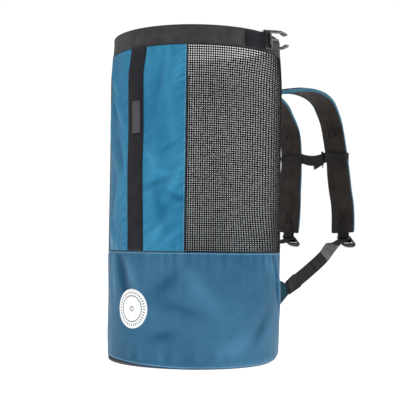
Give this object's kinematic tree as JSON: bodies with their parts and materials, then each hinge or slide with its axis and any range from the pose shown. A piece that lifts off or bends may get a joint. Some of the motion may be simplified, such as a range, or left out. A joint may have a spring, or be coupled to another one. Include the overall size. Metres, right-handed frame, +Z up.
{
  "type": "mesh dive gear bag",
  "caption": "Tall round roll-top backpack with a cloth tub, a cloth front, open net sides, two padded shoulder straps and a sternum strap.",
  "frame": {"origin": "centre of the round base on the floor", "axes": "+Z up along the bag's axis, -Y towards the cloth front with the webbing, +Y towards the shoulder straps, +X to the side with the male buckle half"},
  "size_m": [0.368, 0.6338, 0.6553],
  "materials": {
    "base_cloth": "dark grey coated cloth, dull",
    "tub_cloth": "blue coated cloth with a fine rib, soft sheen",
    "front_cloth": "brighter blue ripstop nylon, soft sheen",
    "black_cloth": "black cloth, dull",
    "net": "black coated square net, dull",
    "band_webbing": "charcoal webbing, dull",
    "black_webbing": "black webbing, dull",
    "label": "dark grey woven label, bare",
    "patch": "white moulded patch with plain dark rings, satin",
    "pad_mesh": "black spacer mesh inside, blue cloth outside, dull",
    "buckle_plastic": "dark grey moulded plastic, glossy",
    "black_plastic": "black moulded plastic, satin",
    "light_plastic": "light grey moulded plastic, satin"
  },
  "bodies": {
    "root": {"base_disc": "base_cloth", "lower_wall": "tub_cloth", "round_patch": "patch", "front_panel": "front_cloth", "back_panel": "black_cloth", "top_band_front": "band_webbing", "top_band_back": "band_webbing", "front_webbing": "black_webbing", "label_tag": "label", "buckle_male": "buckle_plastic", "buckle_female": "buckle_plastic", "sternum_webbing": "black_webbing", "sternum_tail": "black_webbing", "sternum_slider": "black_plastic", "sternum_tip": "light_plastic", "net_panel_right": "net", "net_panel_left": "net", "front_binding_right": "black_webbing", "front_binding_left": "black_webbing", "back_binding_right": "black_webbing", "back_binding_left": "black_webbing", "buckle_tab_right": "black_webbing", "buckle_tab_left": "black_webbing", "shoulder_pad_right": "pad_mesh", "shoulder_pad_left": "pad_mesh", "pad_webbing_right": "black_webbing", "pad_webbing_left": "black_webbing", "ladder_lock_right": "black_plastic", "ladder_lock_left": "black_plastic", "strap_tab_right": "tub_cloth", "strap_tab_left": "tub_cloth", "adjuster_webbing_right": "black_webbing", "adjuster_webbing_left": "black_webbing", "webbing_keeper_right": "black_webbing", "webbing_keeper_left": "black_webbing", "sternum_loop_right": "black_webbing", "sternum_loop_left": "black_webbing"}
  },
  "joints": []
}
